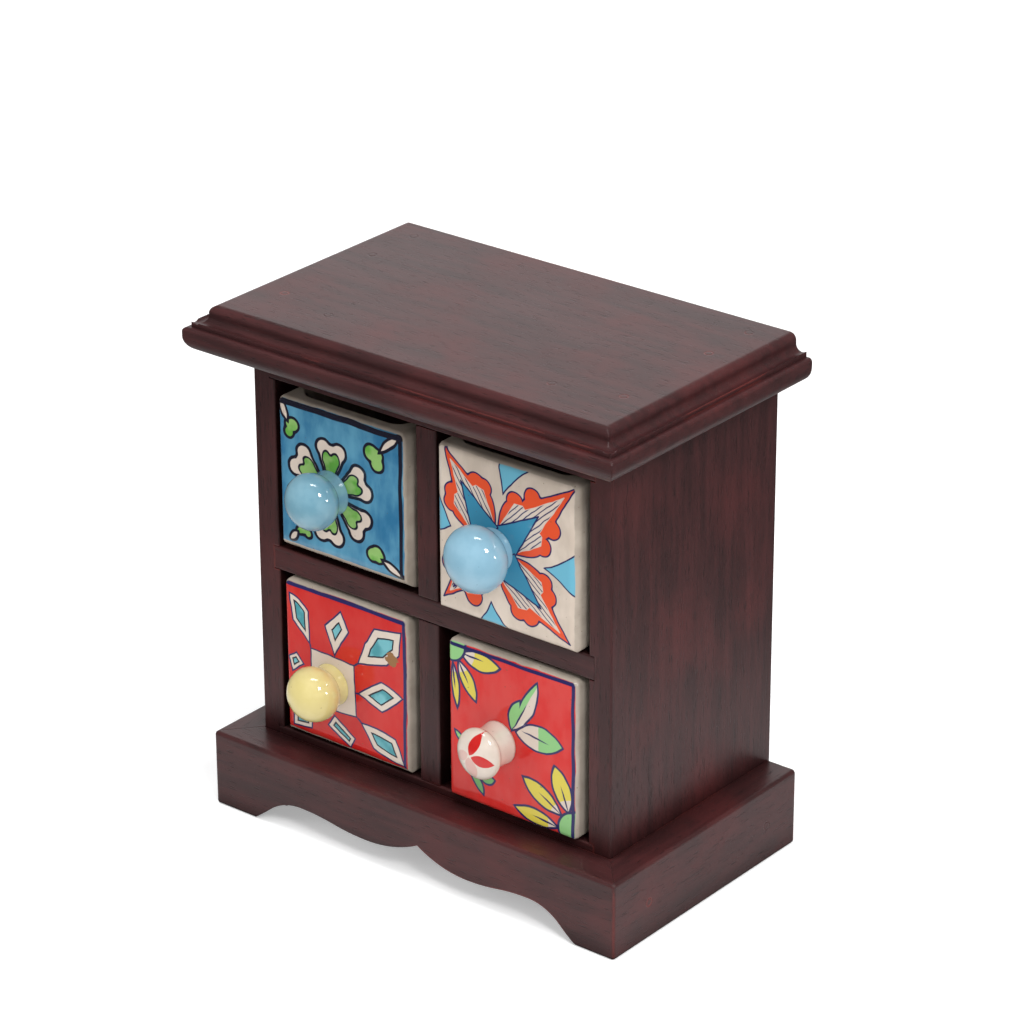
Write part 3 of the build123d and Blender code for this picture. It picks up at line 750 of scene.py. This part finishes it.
def knob_glaze(name, deep, pale, petals=()):
    """A glaze with soft clouds. petals are red leaves painted on the front."""
    painting = Painting(f"{name}_knob_glaze", f"{name}_knob", None, shake=0.5)
    sheet = painting.sheet
    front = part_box(f"{name}_knob")[0].y
    cloud = sheet.noise(sheet.place, 150.0, 3.0)
    painting.colour = sheet.blend(cloud.fade(0.3, 0.7), deep, pale)
    for base, tip, swell, strength in petals:
        petal = painting.leaf(base, tip, swell, swell)
        painting.fill(RED, petal.high((sheet.y - front) / MM - 5.0), strength)
    speck = sheet.noise(sheet.place, 700.0, 1.0).fade(0.76, 0.80)
    color = sheet.blend(speck * 0.6, painting.colour, [0.4 * c for c in deep])
    sheet.relief(sheet.noise(sheet.place, 110.0, 2.0), 0.10 * MM)
    return sheet.finish(color, 0.10, Coat_Weight=0.6, Coat_Roughness=0.03)


knob_petals = (
    ((-0.6, 0.9), (2.0, 7.6), 1.7, 1.0), ((0.0, 0.4), (6.8, -0.9), 1.7, 1.0),
    ((-0.8, 0.2), (0.4, -6.6), 2.1, 0.35), ((-1.2, 1.2), (-5.8, -1.6), 1.6, 0.3),
)
glazes = {
    "upper_left": ((0.15, 0.32, 0.41), (0.21, 0.39, 0.48)),
    "upper_right": ((0.23, 0.42, 0.54), (0.28, 0.48, 0.60)),
    "lower_left": ((0.68, 0.57, 0.23), (0.74, 0.63, 0.29)),
    "lower_right": ((0.64, 0.55, 0.47), (0.72, 0.63, 0.55), knob_petals),
}
knob_sizes = {
    "upper_left": dict(radius=8.6, half_depth=6.8, reach=8.0, flange=6.9, neck=6.5, waist=0.15),
    "upper_right": dict(radius=10.0, half_depth=7.5, reach=8.0, flange=6.7, neck=6.6, waist=0.2),
    "lower_left": dict(radius=8.4, half_depth=7.2, reach=8.0, flange=6.6, neck=6.1, waist=0.2),
    "lower_right": dict(radius=7.9, half_depth=3.8, reach=8.6, flange=6.8, neck=6.9, waist=0.35, oval=0.94),
}
for name, sizes in knob_sizes.items():
    knob = turn_knob(name, knob_glaze(name, *glazes[name]), lathe, **sizes)
    print(knob.name, "vertices:", len(knob.data.vertices))

# %% [markdown]
# ## Floor
# The chest stands on plain white paper, which keeps its shadow. The paper gives off a little light to
# the camera only, so that it looks white without more light on the chest. In mirror rays it is
# darker, because dark lacquer and glaze lose their depth when they mirror a bright floor.

# %% Lay the floor
FLOOR_REACH, PAPER_GLOW = 4.0, 0.36


def stage_floor():
    mesh = bpy.data.meshes.new("floor")
    r = FLOOR_REACH
    mesh.from_pydata([(-r, -r, 0), (r, -r, 0), (r, r, 0), (-r, r, 0)], [], [(0, 1, 2, 3)])
    floor = bpy.data.objects.new("floor", mesh)
    bpy.context.scene.collection.objects.link(floor)
    sheet = Sheet("white_paper")
    grain = sheet.noise(sheet.place, 30.0, 2.0)
    paper = sheet.blend(grain, (0.80, 0.80, 0.80), (0.82, 0.82, 0.82))
    path = sheet.tree.nodes.new("ShaderNodeLightPath")
    seen, mirrored = (Ink(sheet, path.outputs[name]) for name in ("Is Camera Ray", "Is Glossy Ray"))
    # Mirrored, the paper is a little darker near the chest and much darker further off
    away = (sheet.x * sheet.x + sheet.y * sheet.y).root().fade(0.11, 0.27)
    color = sheet.blend((away * 0.65 + 0.25) * mirrored, paper, (0.0, 0.0, 0.0))
    sheet.finish(color, 0.9, Specular_IOR_Level=0.0, Emission_Color=(1, 1, 1, 1))
    sheet.plug(seen * PAPER_GLOW, sheet.shader.inputs["Emission Strength"])
    mesh.materials.append(sheet.material)


stage_floor()
print("floor:", 2 * FLOOR_REACH, "m wide")

# %% [markdown]
# ## Light
# Soft boxes light the chest, as in a small studio. A box that the glaze mirrors makes a bright spot on
# each knob, so the long strip overhead and the small boxes at the right are the ones that show there.
# The large fills only lift the shadows, and most of them are kept out of mirrors.

# %% Light the chest
def softbox(name, place, target, width, height, power, mirrored=True):
    lamp = bpy.data.lights.new(name, "AREA")
    lamp.shape = "RECTANGLE"
    lamp.size, lamp.size_y, lamp.energy = width, height, power
    obj = bpy.data.objects.new(name, lamp)
    bpy.context.scene.collection.objects.link(obj)
    obj.location = place
    aim(obj, target)
    obj.visible_glossy = mirrored
    return obj


strip = softbox("overhead_strip", (0.25, -0.04, 1.2), (0, 0, 0.1), 1.1, 0.16, 6.5)
strip.rotation_euler = (0, 0, radians(39))
softbox("right", (0.85, -0.56, 0.96), (0, 0, 0.08), 0.26, 0.26, 7.5)
softbox("right_low", (1.25, -0.02, 0.45), (0, 0, 0.08), 0.13, 0.13, 2.0)
softbox("front_left", (-0.9, -1.2, 0.8), (0, 0, 0.08), 0.7, 0.7, 5.0, mirrored=False)
softbox("overhead_fill", (0.0, -0.3, 1.3), (0, 0, 0.1), 0.9, 0.7, 4.0, mirrored=False)
softbox("behind", (-0.9, 1.1, 0.55), (0, 0, 0.1), 1.5, 0.8, 3.8)
print("lamps:", len(bpy.data.lights))

# %% [markdown]
# ## World
# The world is white to the camera, which gives the white background. It lights the chest as mid-grey.
# In mirrors it is dark grey, so that the lacquer stays deep. Light Path tells the three apart.

# %% Set the world
AS_LIGHT, IN_MIRRORS = 0.45, 0.16
world = bpy.data.worlds.new("studio")
bpy.context.scene.world = world
world.use_nodes = True
background = world.node_tree.nodes["Background"]
path = world.node_tree.nodes.new("ShaderNodeLightPath")
strength = world.node_tree.nodes.new("ShaderNodeMath")
strength.operation = "MULTIPLY_ADD"
world.node_tree.links.new(path.outputs["Is Glossy Ray"], strength.inputs[0])
strength.inputs[1].default_value = IN_MIRRORS - AS_LIGHT
strength.inputs[2].default_value = AS_LIGHT
level = world.node_tree.nodes.new("ShaderNodeMath")
level.operation = "MAXIMUM"
world.node_tree.links.new(strength.outputs[0], level.inputs[0])
world.node_tree.links.new(path.outputs["Is Camera Ray"], level.inputs[1])
world.node_tree.links.new(level.outputs[0], background.inputs["Strength"])
background.inputs["Color"].default_value = (1, 1, 1, 1)
print("world:", AS_LIGHT, "as light,", IN_MIRRORS, "in mirrors")

bpy.context.scene.view_settings.view_transform = "Standard"

# %% [markdown]
# ## Finish
